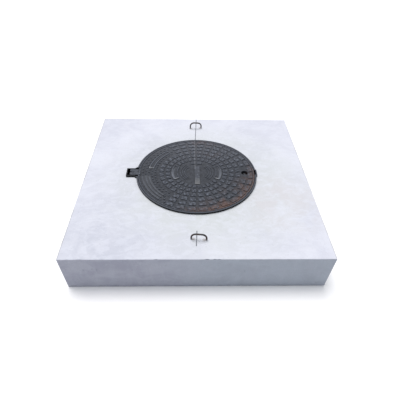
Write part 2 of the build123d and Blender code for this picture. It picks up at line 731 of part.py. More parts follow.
def edge_u_bars():
    """U-bars along the four edges, halfway between the mats' bars."""
    bars = []
    for side in range(4):
        step = 0.0 if side % 2 == 0 else LAYER
        for k in range(-MAT_LINES, MAT_LINES):
            offset = (k + 0.5) * MAT_PITCH
            inner = BAR_END - U_BAR_LEG
            points = [
                (inner, offset, BOTTOM_LAYER + step), (BAR_END, offset, BOTTOM_LAYER + step),
                (BAR_END, offset, TOP_LAYER - step), (inner, offset, TOP_LAYER - step),
            ]
            bars.append(Rot(0, 0, 90.0 * side) * bent_bar(points, U_BAR_BEND, EDGE_BAR))
    return bars


def mat_chairs():
    """Bent bars that stand on the lower mat's long bars and carry the upper mat."""
    chairs = []
    line = 3 * MAT_PITCH
    foot_level = BOTTOM_LAYER + LAYER
    top_level = TOP_LAYER - 2 * LAYER
    half = CHAIR_WIDTH / 2
    for sx in (-1, 1):
        for sy in (-1, 1):
            x, foot, leg = sx * line, sy * (line - CHAIR_FOOT / 2), sy * (line + CHAIR_FOOT / 2)
            points = [
                (x - half, foot, foot_level), (x - half, leg, foot_level), (x - half, leg, top_level),
                (x + half, leg, top_level), (x + half, leg, foot_level), (x + half, foot, foot_level),
            ]
            chairs.append(bent_bar(points, CHAIR_BEND, EDGE_BAR))
    return chairs


def frame_anchors():
    """Bent bars that hang in every second hole of the frame's flange and run out into the concrete."""
    points = [
        (FLANGE_HOLE_CIRCLE, 0, ANCHOR_TOP), (FLANGE_HOLE_CIRCLE, 0, ANCHOR_LEVEL),
        (ANCHOR_REACH, 0, ANCHOR_LEVEL),
    ]
    bar = bent_bar(points, ANCHOR_BEND, BAR)
    first_hole = 180.0 / FLANGE_HOLES
    return [Rot(0, 0, first_hole + k * 360.0 / ANCHOR_COUNT) * bar for k in range(ANCHOR_COUNT)]


def bar_spacers():
    """Blocks between the mould and the lowest bars, seen in the slab's underside."""
    top = BOTTOM_LAYER - BAR / 2 - LAYER_GAP
    half_length, half_width = SPACER_LENGTH / 2, SPACER_WIDTH / 2
    blocks = []
    for column, row in SPACER_PLACES:
        x, y = column * MAT_PITCH, row * MAT_PITCH
        blocks.append(block((x - half_length, y - half_width, 0.0), (x + half_length, y + half_width, top)))
    return blocks


def tie_wires():
    """Wire rings round the crossings of the outer bars, in both mats."""
    ring = Rot(0, 0, 45.0) * Rot(90, 0, 0) * Torus(TIE_RING_RADIUS, TIE_WIRE_RADIUS)
    outer, inner = MAT_LINES, MAT_LINES - 1
    ties = []
    for level in (BOTTOM_LAYER + LAYER / 2, TOP_LAYER - LAYER / 2):
        for x in (-outer, -inner, inner, outer):
            for y in (-outer, -inner, inner, outer):
                if abs(x) == outer or abs(y) == outer:
                    ties.append(Pos(x * MAT_PITCH, y * MAT_PITCH, level) * ring)
    return ties


# ---- Concrete ----

def concrete_slab(frame_solid, cast_in):
    """The slab, with exact hollows for the shaft, the frame and everything cast into it."""
    half = SLAB_SIDE / 2
    slab = block((-half, -half, 0.0), (half, half, SLAB_HEIGHT))
    upper_edges = [edge for edge in slab.edges() if edge.center().Z > ARRIS]
    slab = chamfer(upper_edges, ARRIS)
    slab -= rod(SHAFT_RADIUS, -OVERCUT, FRAME_BOTTOM + OVERCUT)
    slab -= frame_solid
    for pieces in cast_in:
        slab -= pieces
    return slab


def build():
    """Every node of the part, by name."""
    outside = frame_outside()
    rear_loop = lifting_loop(REAR_LOOP)
    front_loop = lifting_loop(FRONT_LOOP)
    mats = {
        "bottom_bars_x": mat_bars(BOTTOM_LAYER, True),
        "bottom_bars_y": mat_bars(BOTTOM_LAYER + LAYER, False),
        "top_bars_x": mat_bars(TOP_LAYER, True, housing_end=HOUSING_COVER - POCKET_END),
        "top_bars_y": mat_bars(TOP_LAYER - LAYER, False),
        "bottom_opening_hoop": [opening_hoop(BOTTOM_LAYER + 2 * LAYER)],
        "top_opening_hoop": [opening_hoop(TOP_LAYER - 2 * LAYER)],
        "diagonal_trimmer_bars": diagonal_trimmers(),
        "edge_u_bars": edge_u_bars(),
        "mat_chairs": mat_chairs(),
        "frame_anchor_bars": frame_anchors(),
        "bar_spacers": bar_spacers(),
    }
    cast_in = [[rear_loop], [front_loop]] + list(mats.values())
    nodes = {
        "concrete_slab": concrete_slab(outside, cast_in),
        "lifting_loop_rear": rear_loop,
        "lifting_loop_front": front_loop,
        "manhole_frame": manhole_frame(outside),
        "seating_gasket": seating_gasket(),
        "cover_plate": cover_plate(),
        "hinge_pin": hinge_pin(),
        "hinge_washers": hinge_washers(),
        "lock_bush": lock_bush(),
        "lock_seal_ring": lock_seal_ring(),
        "lock_spindle": lock_spindle(),
        "lock_cam": lock_cam(),
        "lock_washer": lock_washer(),
        "lock_nut": lock_nut(),
        "lock_spring": lock_spring(),
        "tie_wires": group(tie_wires()),
    }
    nodes.update({name: group(pieces) for name, pieces in mats.items()})
    return nodes


os.makedirs("parts", exist_ok=True)
for name, shape in build().items():
    export_step(shape, f"parts/{name}.step")
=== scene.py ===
import json
from math import atan2, cos, exp, hypot, pi, radians, sin, sqrt

import bpy
from mathutils import Matrix, Vector, geometry, noise
from mathutils.bvhtree import BVHTree


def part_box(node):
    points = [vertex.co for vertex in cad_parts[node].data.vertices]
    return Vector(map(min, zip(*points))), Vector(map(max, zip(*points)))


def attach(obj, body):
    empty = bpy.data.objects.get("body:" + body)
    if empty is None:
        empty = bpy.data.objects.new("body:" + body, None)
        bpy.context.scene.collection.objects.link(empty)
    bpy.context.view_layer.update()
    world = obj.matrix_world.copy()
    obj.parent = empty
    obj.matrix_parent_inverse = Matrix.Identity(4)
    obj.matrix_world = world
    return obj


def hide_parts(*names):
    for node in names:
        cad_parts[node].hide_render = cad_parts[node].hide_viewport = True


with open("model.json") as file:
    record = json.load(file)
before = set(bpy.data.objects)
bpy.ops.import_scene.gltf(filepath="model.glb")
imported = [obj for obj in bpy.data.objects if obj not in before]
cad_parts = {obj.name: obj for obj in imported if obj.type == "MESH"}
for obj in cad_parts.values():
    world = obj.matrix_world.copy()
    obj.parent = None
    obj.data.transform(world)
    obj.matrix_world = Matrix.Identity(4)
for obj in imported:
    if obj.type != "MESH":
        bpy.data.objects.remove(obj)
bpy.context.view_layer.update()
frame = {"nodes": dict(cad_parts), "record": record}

# Metres, in the frame of the CAD part: the origin is the centre of the slab's underside, +X runs from the
# hinge to the lock, and the slab's front face looks along -Y.

SLAB_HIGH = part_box("concrete_slab")[1]
HALF = SLAB_HIGH.x
SLAB_TOP = SLAB_HIGH.z
FRAME_LOW, FRAME_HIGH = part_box("manhole_frame")
FRAME_BOTTOM = FRAME_LOW.z
IRON_TOP = FRAME_HIGH.z
FIELD_LEVEL = IRON_TOP - 0.0035
LOOPS = ("lifting_loop_rear", "lifting_loop_front")

# ---- Concrete slab: sizes ----

RIM_OUTER = 0.325
SHAFT_RADIUS = 0.310
HOUSING_END = -0.379
HOUSING_HALF_WIDTH = 0.0325
HOUSING_FLARE_END = -0.336
MOUTH_END = -0.326
MOUTH_HALF_WIDTH = 0.043
PRY_END = 0.3295
PRY_HALF_WIDTH = 0.026
HIDDEN_INSET = 0.0025
SHELF_LEVEL = 0.150
SHELF_RADIUS = 0.318
LEDGE_DROP = 0.0002
BOTTOM_LEVEL = 0.00015
LEG_RADIUS = 0.004

ARRIS = 0.0022
ARRIS_STEP = 0.010
FACE_GRID = 0.016
RIM_POINTS = 192
ROUND = 0.29
CHIP_ROUND = 0.55


def inside(loop, x, y):
    """Whether a point lies inside a closed flat loop."""
    odd = False
    for (ax, ay), (bx, by) in zip(loop, loop[1:] + loop[:1]):
        if (ay > y) != (by > y) and x < ax + (y - ay) * (bx - ax) / (by - ay):
            odd = not odd
    return odd


def ripple(x, y, z=0.0, octaves=3):
    """Smooth noise from about -1 to 1."""
    return noise.fractal(Vector((x, y, z)), 0.9, 2.1, octaves, noise_basis="PERLIN_ORIGINAL")


class Draws:
    """A repeatable stream of numbers."""

    def __init__(self, seed):
        self.state = seed

    def between(self, low, high):
        self.state = (self.state * 1103515245 + 12345) % 2147483648
        return low + (high - low) * self.state / 2147483648


# ---- Meshes in general ----

class Mesh:
    """Vertices and faces that are gathered into one mesh. Points that coincide are one vertex."""

    def __init__(self):
        self.points = []
        self.faces = []
        self.known = {}

    def point(self, place):
        key = tuple(round(c * 1e7) for c in place)
        if key not in self.known:
            self.known[key] = len(self.points)
            self.points.append(tuple(place))
        return self.known[key]

    def face(self, places):
        corners = []
        for place in places:
            corner = self.point(place)
            if corner not in corners:
                corners.append(corner)
        if len(corners) > 2:
            self.faces.append(corners)

    def strip(self, row_a, row_b, closed=False):
        """Quads between two rows of as many points."""
        count = len(row_a)
        for k in range(count if closed else count - 1):
            n = (k + 1) % count
            self.face([row_a[k], row_a[n], row_b[n], row_b[k]])

    def fill(self, outer, holes, inner, place):
        """Triangles over a flat region with holes. place(u, v, on_edge) turns its points into 3-D."""
        flat, edges = [], []
        for loop in [outer] + holes:
            first = len(flat)
            flat.extend(Vector(p) for p in loop)
            edges.extend((first + k, first + (k + 1) % len(loop)) for k in range(len(loop)))
        boundary = len(flat)
        flat.extend(Vector(p) for p in inner)
        found, _, triangles, origins, _, _ = geometry.delaunay_2d_cdt(flat, edges, [], 2, 1e-7, True)
        on_edge = [any(k < boundary for k in origin) for origin in origins]
        solid = [place(p.x, p.y, edge) for p, edge in zip(found, on_edge)]
        for triangle in triangles:
            middle = sum((found[k] for k in triangle), Vector((0.0, 0.0))) / 3
            over_hole = all(on_edge[k] for k in triangle) and any(inside(hole, *middle) for hole in holes)
            if not over_hole:
                self.face([solid[k] for k in triangle])

    def build(self, name, body, material, sharp=40.0):
        data = bpy.data.meshes.new(name)
        data.from_pydata(self.points, [], self.faces)
        data.validate()
        data.materials.append(material)
        made = bpy.data.objects.new(name, data)
        bpy.context.scene.collection.objects.link(made)
        bpy.context.view_layer.objects.active = made
        made.select_set(True)
        bpy.ops.object.mode_set(mode="EDIT")
        bpy.ops.mesh.select_all(action="SELECT")
        bpy.ops.mesh.normals_make_consistent(inside=False)
        bpy.ops.object.mode_set(mode="OBJECT")
        bpy.ops.object.shade_auto_smooth(angle=radians(sharp))
        made.select_set(False)
        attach(made, body)
        return made


# ---- Concrete slab: blow-holes ----

class Pore:
    """A small blow-hole in a concrete face, a little off round."""

    def __init__(self, u, v, radius, turn):
        self.u = u
        self.v = v
        self.radius = radius
        self.turn = turn

    def reach(self, angle):
        return self.radius * (1.0 + 0.16 * sin(2 * angle + self.turn) + 0.08 * sin(3 * angle - self.turn))

    def points(self):
        found = [(self.u, self.v)]
        for share, count in ((1.06, 10), (0.94, 10), (0.62, 7)):
            for k in range(count):
                angle = 2 * pi * (k + share) / count
                r = self.reach(angle) * share
                found.append((self.u + r * cos(angle), self.v + r * sin(angle)))
        return found

    def depth(self, u, v):
        du, dv = u - self.u, v - self.v
        if hypot(du, dv) > 1.3 * self.radius:
            return 0.0
        share = hypot(du, dv) / self.reach(atan2(dv, du))
        return 0.75 * self.radius * sqrt(max(0.0, 1.0 - share * share))


class PoreField:
    """Blow-holes at repeatable places on one face, small ones more often than large ones."""

    CELL = 0.02

    def __init__(self, seed, count, u_half, v_low, v_high, smallest, largest, allowed):
        draws = Draws(seed)
        self.pores = []
        self.cells = {}
        while len(self.pores) < count:
            u, v = draws.between(-u_half, u_half), draws.between(v_low, v_high)
            radius = smallest + (largest - smallest) * draws.between(0.0, 1.0) ** 3
            pore = Pore(u, v, radius, draws.between(0.0, 2 * pi))
            apart = all(hypot(u - p.u, v - p.v) > 2.2 * (radius + p.radius) for p in self.near(u, v))
            if apart and allowed(u, v):
                self.pores.append(pore)
                self.enter(pore)

    def enter(self, pore):
        column, row = int(pore.u // self.CELL), int(pore.v // self.CELL)
        for a in (column - 1, column, column + 1):
            for b in (row - 1, row, row + 1):
                self.cells.setdefault((a, b), []).append(pore)

    def near(self, u, v):
        return self.cells.get((int(u // self.CELL), int(v // self.CELL)), ())

    def depth(self, u, v):
        return sum(p.depth(u, v) for p in self.near(u, v))

    def is_clear(self, u, v):
        return all(hypot(u - p.u, v - p.v) > 1.8 * p.radius for p in self.near(u, v))

    def points(self):
        return [point for pore in self.pores for point in pore.points()]


# ---- Concrete slab: plan of what stands in its top ----

def iron_outline(offset):
    """Plan of the iron's outer edge, moved outwards by offset: rim, hinge housing and pry slot."""
    radius = RIM_OUTER + offset
    end = HOUSING_END - offset
    half = HOUSING_HALF_WIDTH + offset
    mouth = MOUTH_HALF_WIDTH + offset
    pry_end = PRY_END + offset
    pry_half = PRY_HALF_WIDTH + offset
    first = atan2(pry_half, sqrt(radius ** 2 - pry_half ** 2))
    last = pi - atan2(mouth, sqrt(radius ** 2 - mouth ** 2))
    upper = [(pry_end, 0.3 * pry_half), (pry_end, 0.8 * pry_half), (pry_end - 0.002, pry_half)]
    steps = RIM_POINTS // 2
    for k in range(steps + 1):
        angle = first + (last - first) * k / steps
        upper.append((radius * cos(angle), radius * sin(angle)))
    upper.append((MOUTH_END, mouth))
    upper.append((HOUSING_FLARE_END, half))
    upper.append(((HOUSING_FLARE_END + end) / 2, half))
    upper.append((end, half))
    upper.append((end, 0.3 * half))
    return upper + [(x, -y) for x, y in reversed(upper)]


def iron_distance(x, y):
    """How far a point of the slab's top is from the iron. It is negative inside."""
    rim = hypot(x, y) - RIM_OUTER
    housing = max(abs(y) - HOUSING_HALF_WIDTH, HOUSING_END - x, x)
    mouth = max(abs(y) - MOUTH_HALF_WIDTH, MOUTH_END - x, x)
    pry = max(abs(y) - PRY_HALF_WIDTH, x - PRY_END, -x)
    return min(rim, housing, mouth, pry)


def leg_places():
    """Where the lifting loops' legs leave the concrete."""
    places = []
    for name in LOOPS:
        low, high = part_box(name)
        middle = (low.x + high.x) / 2
        near = [v.co for v in frame["nodes"][name].data.vertices if abs(v.co.z - SLAB_TOP) < 0.03]
        for side in (-1, 1):
            xs = [c.x for c in near if (c.x - middle) * side > 0]
            ys = [c.y for c in near if (c.x - middle) * side > 0]
            places.append(((min(xs) + max(xs)) / 2, (min(ys) + max(ys)) / 2))
    return places


LEGS = leg_places()


def leg_distance(x, y):
    return min(hypot(x - a, y - b) for a, b in LEGS)


# ---- Concrete slab: edges and faces ----

def low_high(axis):
    return (BOTTOM_LEVEL, SLAB_TOP) if axis == 2 else (-HALF, HALF)


def bound(axis, sign):
    return low_high(axis)[1 if sign > 0 else 0]


def edge_chips():
    """Small knocks in the slab's edges: for each edge, a list of (place, half length, depth)."""
    draws = Draws(77)
    chips = {}
    for along in (0, 1, 2):
        low, high = low_high(along)
        for sign_a in (-1, 1):
            for sign_b in (-1, 1):
                knocks = 9 if along < 2 else 3
                chips[(along, sign_a, sign_b)] = [
                    (draws.between(low + 0.04, high - 0.04), draws.between(0.004, 0.013),
                     draws.between(0.0008, 0.0032))
                    for _ in range(knocks)
                ]
    return chips


CHIPS = edge_chips()


def edge_wear(key, t):
    """Width of an edge's rounding at t along it, and how much of that is a chip."""
    along = key[0]
    low, high = low_high(along)
    ends = min(1.0, (min(t - low, high - t) - ARRIS) / 0.02)
    base = ARRIS * (1.0 + 0.35 * max(0.0, ends) * ripple(t * 30, 7.0 * key[1] + 3.0 * key[2], along))
    chip = sum(depth * max(0.0, 1.0 - ((t - place) / length) ** 2) for place, length, depth in CHIPS[key])
    return base, chip * max(0.0, ends)


def edge_rows(along, sign_a, sign_b):
    """Three rows of points along an edge: on its first face, in the middle and on its second face."""
    a, b = [axis for axis in (0, 1, 2) if axis != along]
    low, high = low_high(along)
    count = round((high - low) / ARRIS_STEP)
    rows = [[], [], []]
    for k in range(count + 1):
        t = low + ARRIS + (high - low - 2 * ARRIS) * k / count
        base, chip = edge_wear((along, sign_a, sign_b), t)
        wide, middle = base + chip, ROUND * base + CHIP_ROUND * chip
        for row, (in_a, in_b) in zip(rows, ((0.0, wide), (middle, middle), (wide, 0.0))):
            place = [0.0, 0.0, 0.0]
            place[along] = t
            place[a] = bound(a, sign_a) - sign_a * in_a
            place[b] = bound(b, sign_b) - sign_b * in_b
            row.append(tuple(place))
    return rows


def corner_patch(mesh, signs):
    """The small rounded patch where three edges meet."""
    def inset(shares):
        return tuple(bound(k, signs[k]) - signs[k] * ARRIS * shares[k] for k in (0, 1, 2))

    ring = [
        inset((0, 1, 1)), inset((ROUND, ROUND, 1)), inset((1, 0, 1)),
        inset((1, ROUND, ROUND)), inset((1, 1, 0)), inset((ROUND, 1, ROUND)),
    ]
    middle = inset((0.42, 0.42, 0.42))
    for k in range(6):
        mesh.face([middle, ring[k], ring[(k + 1) % 6]])


def face_outline(rows, axis, sign):
    """The loop of edge points round one face, in the face's own two axes."""
    i, j = [k for k in (0, 1, 2) if k != axis]

    def row(along, other_sign):
        others = [k for k in (0, 1, 2) if k != along]
        signs = {axis: sign, (j if along == i else i): other_sign}
        three = rows[(along, signs[others[0]], signs[others[1]])]
        return three[0] if others[0] == axis else three[2]

    loop = row(i, -1) + row(j, 1)[1:] + row(i, 1)[::-1][1:] + row(j, -1)[::-1][1:-1]
    return [(p[i], p[j]) for p in loop]


def face_grid(u_half, v_low, v_high, seed, keep):
    """Loose points over a face, a little off a square grid."""
    draws = Draws(seed)
    columns = round(2 * u_half / FACE_GRID)
    rows = round((v_high - v_low) / FACE_GRID)
    points = []
    for a in range(1, columns):
        for b in range(1, rows):
            u = -u_half + (a + draws.between(-0.3, 0.3)) * 2 * u_half / columns
            v = v_low + (b + draws.between(-0.3, 0.3)) * (v_high - v_low) / rows
            if keep(u, v):
                points.append((u, v))
    return points


def add_top(mesh, outline):
    """The floated top, risen a little where it meets the iron and the loops."""
    def allowed(x, y):
        return iron_distance(x, y) > 0.02 and leg_distance(x, y) > 0.02

    pores = PoreField(5, 130, HALF - 0.02, -HALF + 0.02, HALF - 0.02, 0.0006, 0.0019, allowed)
    inner = face_grid(
        HALF, -HALF, HALF, 11,
        lambda x, y: iron_distance(x, y) > 0.014 and leg_distance(x, y) > 0.013 and pores.is_clear(x, y),
    )
    for offset in (0.0004, 0.0020, 0.0045, 0.0090):
        inner.extend(iron_outline(offset))
    for x, y in LEGS:
        for radius in (0.0030, 0.0043, 0.0060, 0.0085, 0.0120):
            for k in range(16):
                angle = 2 * pi * k / 16
                inner.append((x + radius * cos(angle), y + radius * sin(angle)))
    inner.extend(pores.points())

    def place(x, y, on_edge):
        if on_edge:
            return x, y, SLAB_TOP
        fade = min(1.0, max(0.0, (HALF - max(abs(x), abs(y))) / 0.03))
        rise = fade * (0.00035 * ripple(x * 5, y * 5, 1.0) + 0.00012 * ripple(x * 24, y * 31, 4.0))
        crust = 0.0003 + 0.0016 * max(0.0, 0.25 + ripple(x * 17, y * 17, 9.0))
        rise += crust * exp(-max(0.0, iron_distance(x, y)) / 0.0024)
        mound = 0.0012 * (1.0 + 0.6 * ripple(x * 160, y * 160, 2.0, 2))
        rise += mound * exp(-max(0.0, leg_distance(x, y) - LEG_RADIUS) / 0.0022)
        return x, y, SLAB_TOP + rise - pores.depth(x, y)

    mesh.fill(outline, [iron_outline(-HIDDEN_INSET)], inner, place)


def add_side(mesh, outline, axis, sign):
    """One moulded side face, with blow-holes."""
    seed = 31 + 2 * axis + sign
    pores = PoreField(seed, 95, HALF - 0.012, 0.010, SLAB_TOP - 0.010, 0.0006, 0.0034, lambda u, v: True)
    inner = face_grid(HALF, 0.0, SLAB_TOP, seed, pores.is_clear) + pores.points()

    def place(u, v, on_edge):
        dent = 0.0
        if not on_edge:
            dent = 0.00018 * (1.0 + ripple(u * 7, v * 9, seed)) + pores.depth(u, v)
        out = sign * (HALF - dent)
        return (out, u, v) if axis == 0 else (u, out, v)

    mesh.fill(outline, [], inner, place)


def add_bottom(mesh, outline, shaft_loop):
    """The flat underside."""
    inner = face_grid(HALF, -HALF, HALF, 23, lambda x, y: hypot(x, y) > SHAFT_RADIUS + 0.01)
    mesh.fill(outline, [shaft_loop], inner, lambda x, y, on_edge: (x, y, BOTTOM_LEVEL))


def add_opening(mesh):
    """The hollow for the iron and the shaft's wall below it. Returns the lowest loop, in plan."""
    outline = iron_outline(-HIDDEN_INSET)

    def ring(radius, level, rough=0.0):
        loop = []
        for x, y in outline:
            angle = atan2(y, x)
            r = radius + rough * ripple(cos(angle) * 9, sin(angle) * 9, level * 30)
            loop.append((r * cos(angle), r * sin(angle), level))
        return loop

    ledge = FRAME_BOTTOM - LEDGE_DROP
    rows = [
        [(x, y, SLAB_TOP) for x, y in outline],
        [(x, y, SHELF_LEVEL) for x, y in outline],
        ring(SHELF_RADIUS, SHELF_LEVEL),
        ring(SHELF_RADIUS, ledge),
        ring(SHAFT_RADIUS + 0.001, ledge),
        ring(SHAFT_RADIUS, ledge - 0.001),
    ]
    wall_rows = 8
    for k in range(1, wall_rows):
        rows.append(ring(SHAFT_RADIUS + 0.0003, ledge * (1.0 - k / wall_rows), rough=0.0003))
    rows.append(ring(SHAFT_RADIUS, BOTTOM_LEVEL))
    for upper, lower in zip(rows, rows[1:]):
        mesh.strip(upper, lower, closed=True)
    return [(x, y) for x, y, _ in rows[-1]]


def slab_skin(material):
    """The concrete as one closed mesh: floated top, moulded sides, worn edges and the opening."""
    mesh = Mesh()
    rows = {}
    for along in (0, 1, 2):
        for sign_a in (-1, 1):
            for sign_b in (-1, 1):
                three = edge_rows(along, sign_a, sign_b)
                rows[(along, sign_a, sign_b)] = three
                mesh.strip(three[0], three[1])
                mesh.strip(three[1], three[2])
    for sx in (-1, 1):
        for sy in (-1, 1):
            for sz in (-1, 1):
                corner_patch(mesh, (sx, sy, sz))
    shaft_loop = add_opening(mesh)
    add_top(mesh, face_outline(rows, 2, 1))
    add_bottom(mesh, face_outline(rows, 2, -1), shaft_loop)
    for axis in (0, 1):
        for sign in (-1, 1):
            add_side(mesh, face_outline(rows, axis, sign), axis, sign)
    skin = mesh.build("concrete_skin", "slab", material)
    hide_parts("concrete_slab")
    return skin


# ---- Small studs on the cover's blank field ----

PIP_COLUMNS = 64
PIP_PITCH = 0.017
PIP_INNER = 0.200
PIP_OUTER = 0.300
PIP_FIRST = radians(122.0)
PIP_LAST = radians(238.0)
PIP_BASE = 0.0048
PIP_TOP = 0.0033
PIP_HEIGHT = 0.0030
PIP_SUNK = 0.0003
PIP_CLEAR = 0.0058
FLATNESS = 0.0002


def in_plan(bearing, radius, outwards, sideways):
    """A point given by its steps outwards and sideways from a place on the cover."""
    along = radius + outwards
    x = along * cos(bearing) - sideways * sin(bearing)
    y = along * sin(bearing) + sideways * cos(bearing)
    return x, y


def is_blank(surface, bearing, radius):
    """Whether the cover's top is bare field at a place and all round it."""
    for outwards in (-PIP_CLEAR, 0.0, PIP_CLEAR):
        for sideways in (-PIP_CLEAR, 0.0, PIP_CLEAR):
            above = Vector((*in_plan(bearing, radius, outwards, sideways), 2 * IRON_TOP))
            hit = surface.ray_cast(above, Vector((0.0, 0.0, -1.0)))[0]
            if hit is None or abs(hit.z - FIELD_LEVEL) > FLATNESS:
                return False
    return True


def pip_places():
    """Bearing and radius of every small stud, in staggered rings."""
    cover = frame["nodes"]["cover_plate"].data
    surface = BVHTree.FromPolygons([v.co for v in cover.vertices], [p.vertices for p in cover.polygons])
    places = []
    for ring in range(round((PIP_OUTER - PIP_INNER) / PIP_PITCH) + 1):
        radius = PIP_OUTER - PIP_PITCH * (ring + 0.5)
        for column in range(PIP_COLUMNS):
            bearing = 2 * pi * (column + 0.5 * (ring % 2)) / PIP_COLUMNS
            if PIP_FIRST < bearing < PIP_LAST and is_blank(surface, bearing, radius):
                places.append((bearing, radius))
    return places


def add_pip(mesh, bearing, radius):
    """One drafted square stud, turned to face the cover's axis."""
    def corners(half, level):
        signs = ((-1, -1), (1, -1), (1, 1), (-1, 1))
        return [(*in_plan(bearing, radius, a * half, b * half), level) for a, b in signs]

    base = corners(PIP_BASE, FIELD_LEVEL - PIP_SUNK)
    top = corners(PIP_TOP, FIELD_LEVEL + PIP_HEIGHT)
    mesh.face(base)
    mesh.strip(base, top, closed=True)
    mesh.face(top)


def cover_pips(material):
    """All the small studs as one mesh of closed solids."""
    mesh = Mesh()
    for bearing, radius in pip_places():
        add_pip(mesh, bearing, radius)
    return mesh.build("cover_small_studs", "cover", material)


# ---- Materials in general ----

def tone(red, green, blue):
    """Colour from 0-255 display values, as the shader's linear values."""
    def linear(c):
        c /= 255.0
        return c / 12.92 if c <= 0.04045 else ((c + 0.055) / 1.055) ** 2.4

    return linear(red), linear(green), linear(blue), 1.0


class Paint:
    """One procedural material, built node by node. Its patterns lie in the part's own metres."""

    def __init__(self, name, constants=()):
        self.material = bpy.data.materials.new(name)
        self.material.use_nodes = True
        self.tree = self.material.node_tree
        self.shader = self.tree.nodes["Principled BSDF"]
        for socket, value in constants:
            self.shader.inputs[socket].default_value = value
        self.place = self.add("ShaderNodeTexCoord").outputs["Object"]
        parts = self.add("ShaderNodeSeparateXYZ", {"Vector": self.place}).outputs
        self.x, self.y, self.z = parts["X"], parts["Y"], parts["Z"]

    def add(self, kind, inputs=None, **settings):
        made = self.tree.nodes.new(kind)
        for key, value in settings.items():
            setattr(made, key, value)
        for key, value in (inputs or {}).items():
            self.feed(made.inputs[key], value)
        return made

    def feed(self, socket, value):
        if isinstance(value, bpy.types.NodeSocket):
            self.tree.links.new(value, socket)
        else:
            socket.default_value = value

    def noise(self, scale, detail=4.0, rough=0.55, warp=0.0, place=None):
        """Cloudy noise from 0 to 1, with scale features to the metre."""
        made = self.add("ShaderNodeTexNoise", {
            "Vector": place or self.place, "Scale": scale, "Detail": detail,
            "Roughness": rough, "Distortion": warp,
        })
        return made.outputs["Fac"]

    def dots(self, scale):
        """Distance to the nearest of many scattered points."""
        made = self.add("ShaderNodeTexVoronoi", {"Vector": self.place, "Scale": scale})
        return made.outputs["Distance"]

    def stretch(self, x, y, z):
        made = self.add("ShaderNodeMapping", {"Vector": self.place, "Scale": (x, y, z)})
        return made.outputs["Vector"]

    def math(self, operation, a, b=0.0):
        return self.add("ShaderNodeMath", {0: a, 1: b}, operation=operation).outputs[0]

    def step(self, value, low, high, start=0.0, end=1.0):
        """A smooth step from start to end as value goes from low to high."""
        made = self.add("ShaderNodeMapRange", {
            "Value": value, "From Min": low, "From Max": high, "To Min": start, "To Max": end,
        }, interpolation_type="SMOOTHSTEP")
        return made.outputs["Result"]

    def both(self, *masks):
        product = masks[0]
        for mask in masks[1:]:
            product = self.math("MULTIPLY", product, mask)
        return product

    def either(self, *masks):
        total = masks[0]
        for mask in masks[1:]:
            total = self.math("MAXIMUM", total, mask)
        return total

    def inverse(self, mask):
        return self.math("SUBTRACT", 1.0, mask)

    def mix(self, mask, a, b):
        made = self.add("ShaderNodeMix", {0: mask, 6: a, 7: b}, data_type="RGBA")
        return made.outputs[2]

    def spot(self, x, y, z, radius):
        """A soft round mask about one point."""
        far = self.add("ShaderNodeVectorMath", {0: self.place, 1: (x, y, z)}, operation="DISTANCE")
        return self.step(far.outputs["Value"], 0.3 * radius, radius, 1.0, 0.0)

    def window(self, x_low, x_high, y_low, y_high):
        """A rectangle in plan, with edges 2 mm soft."""
        return self.both(
            self.step(self.x, x_low - 0.001, x_low + 0.001),
            self.step(self.x, x_high - 0.001, x_high + 0.001, 1.0, 0.0),
            self.step(self.y, y_low - 0.001, y_low + 0.001),
            self.step(self.y, y_high - 0.001, y_high + 0.001, 1.0, 0.0),
        )

    def radius(self):
        """Distance from the cover's axis, in plan."""
        squares = [self.math("MULTIPLY", c, c) for c in (self.x, self.y)]
        return self.math("SQRT", self.math("ADD", *squares))

    def bearing(self):
        """Angle round the cover's axis, from -pi to pi, measured from +X."""
        return self.math("ARCTAN2", self.y, self.x)

    def sector(self, first, last, inner, outer):
        """A ring sector in plan, between two bearings in degrees and two radii, with soft edges."""
        soft = radians(1.5)
        bearing, radius = self.bearing(), self.radius()
        return self.both(
            self.step(bearing, radians(first) - soft, radians(first)),
            self.step(bearing, radians(last), radians(last) + soft, 1.0, 0.0),
            self.step(radius, inner - 0.003, inner + 0.003),
            self.step(radius, outer - 0.003, outer + 0.003, 1.0, 0.0),
        )

    def stroke(self, across, centre, half_width, along, low, high):
        """A drawn line: a narrow band of one coordinate over a stretch of another."""
        off = self.math("ABSOLUTE", self.math("SUBTRACT", across, centre))
        return self.both(
            self.step(off, half_width * 0.6, half_width * 1.3, 1.0, 0.0),
            self.step(along, low, low + 0.003), self.step(along, high - 0.003, high, 1.0, 0.0),
        )

    def bump(self, height, distance, below=None):
        inputs = {"Height": height, "Distance": distance, "Strength": 1.0}
        if below is not None:
            inputs["Normal"] = below
        return self.add("ShaderNodeBump", inputs).outputs["Normal"]

    def finish(self, colour, rough, normal, metal=None):
        self.feed(self.shader.inputs["Base Color"], colour)
        self.feed(self.shader.inputs["Roughness"], rough)
        self.feed(self.shader.inputs["Normal"], normal)
        if metal is not None:
            self.feed(self.shader.inputs["Metallic"], metal)
        return self.material


# ---- Concrete ----

LINE_REAR = ((-0.004, 0.322), (0.006, 0.595))
LINE_FRONT = ((-0.008, -0.527), (-0.004, -0.430))
LINE_HALF_WIDTH = 0.0022


def slanted_line(p, start, end):
    """Mask of a pencil line that runs nearly along Y from start to end."""
    (x0, y0), (x1, y1) = start, end
    drift = p.math("MULTIPLY", p.math("SUBTRACT", p.y, y0), (x1 - x0) / (y1 - y0))
    return p.stroke(p.math("SUBTRACT", p.x, drift), x0, LINE_HALF_WIDTH, p.y, y0, y1)


def setting_out_lines(p):
    """Pencil lines on the slab's top: behind the cover, and a short piece at the front loop."""
    lines = p.either(slanted_line(p, *LINE_REAR), slanted_line(p, *LINE_FRONT))
    on_top = p.step(p.z, SLAB_TOP - 0.003, SLAB_TOP - 0.001)
    return p.both(lines, on_top, p.step(p.noise(60.0), 0.25, 0.5, 0.6, 1.0))


